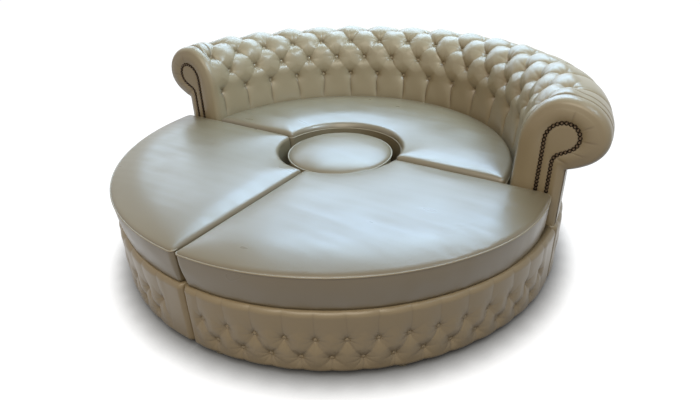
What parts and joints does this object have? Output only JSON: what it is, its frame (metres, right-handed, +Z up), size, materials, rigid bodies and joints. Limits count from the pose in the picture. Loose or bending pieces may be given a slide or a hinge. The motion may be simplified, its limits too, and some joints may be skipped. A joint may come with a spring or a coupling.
{
  "type": "round sofa",
  "caption": "Round sectional sofa: half-round seat with a deep-buttoned rolled back and scroll arms, quarter-round ottomans that close the circle, and a round pouf in the middle.",
  "frame": {"origin": "on the floor, under the middle of the whole sofa's bounding box; the middle of the round seat lies 57.5 mm in front of it", "axes": "+Z up, +X towards the right arm as one faces the back, +Y towards the back"},
  "size_m": [2.33, 2.208, 0.8217],
  "materials": {
    "seat_leather": "semi-gloss ivory leather",
    "back_leather": "semi-gloss cream leather",
    "piping_leather": "pale leather welt",
    "nail_brass": "dark antique brass",
    "timber": "plain sawn timber",
    "plywood": "plain plywood",
    "dust_cloth": "black woven dust cloth",
    "foot_lacquer": "cream lacquer"
  },
  "bodies": {
    "rear_unit": {"rear_dust_cloth": "dust_cloth", "rear_base_frame": "timber", "rear_seat_deck": "plywood", "rear_side_cover": "back_leather", "rear_buttoned_base": "back_leather", "rear_seat_cushion": "seat_leather", "rear_seat_piping": "piping_leather", "back_frame": "timber", "back_buttoned_cover": "back_leather", "outer_back_panel": "back_leather", "right_arm_facing": "back_leather", "left_arm_facing": "back_leather", "right_arm_panel": "back_leather", "left_arm_panel": "back_leather", "right_arm_nail_trim": "nail_brass", "left_arm_nail_trim": "nail_brass", "rear_foot_1": "foot_lacquer", "rear_foot_2": "foot_lacquer", "rear_foot_3": "foot_lacquer", "rear_foot_4": "foot_lacquer", "rear_foot_5": "foot_lacquer", "rear_foot_6": "foot_lacquer", "rear_foot_7": "foot_lacquer"},
    "left_ottoman": {"left_ottoman_dust_cloth": "dust_cloth", "left_ottoman_base_frame": "timber", "left_ottoman_seat_deck": "plywood", "left_ottoman_side_cover": "back_leather", "left_ottoman_buttoned_base": "back_leather", "left_ottoman_seat_cushion": "seat_leather", "left_ottoman_seat_piping": "piping_leather", "left_ottoman_foot_1": "foot_lacquer", "left_ottoman_foot_2": "foot_lacquer", "left_ottoman_foot_3": "foot_lacquer", "left_ottoman_foot_4": "foot_lacquer"},
    "right_ottoman": {"right_ottoman_dust_cloth": "dust_cloth", "right_ottoman_base_frame": "timber", "right_ottoman_seat_deck": "plywood", "right_ottoman_side_cover": "back_leather", "right_ottoman_buttoned_base": "back_leather", "right_ottoman_seat_cushion": "seat_leather", "right_ottoman_seat_piping": "piping_leather", "right_ottoman_foot_1": "foot_lacquer", "right_ottoman_foot_2": "foot_lacquer", "right_ottoman_foot_3": "foot_lacquer", "right_ottoman_foot_4": "foot_lacquer"},
    "pouf": {"pouf_dust_cloth": "dust_cloth", "pouf_drum": "plywood", "pouf_top_board": "plywood", "pouf_side_cover": "back_leather", "pouf_seat_cushion": "seat_leather", "pouf_seat_piping": "piping_leather", "pouf_foot_1": "foot_lacquer", "pouf_foot_2": "foot_lacquer", "pouf_foot_3": "foot_lacquer", "pouf_foot_4": "foot_lacquer"}
  },
  "joints": [
    {"name": "left_ottoman_slide", "type": "slide", "parent": "rear_unit", "child": "left_ottoman", "axis": [-0.7071, -0.7071, 0], "range_m": [0, 0.6]},
    {"name": "right_ottoman_slide", "type": "slide", "parent": "rear_unit", "child": "right_ottoman", "axis": [0.7071, -0.7071, 0], "range_m": [0, 0.6]},
    {"name": "pouf_lift", "type": "slide", "parent": "rear_unit", "child": "pouf", "axis": [0, 0, 1], "range_m": [0, 0.5]}
  ]
}
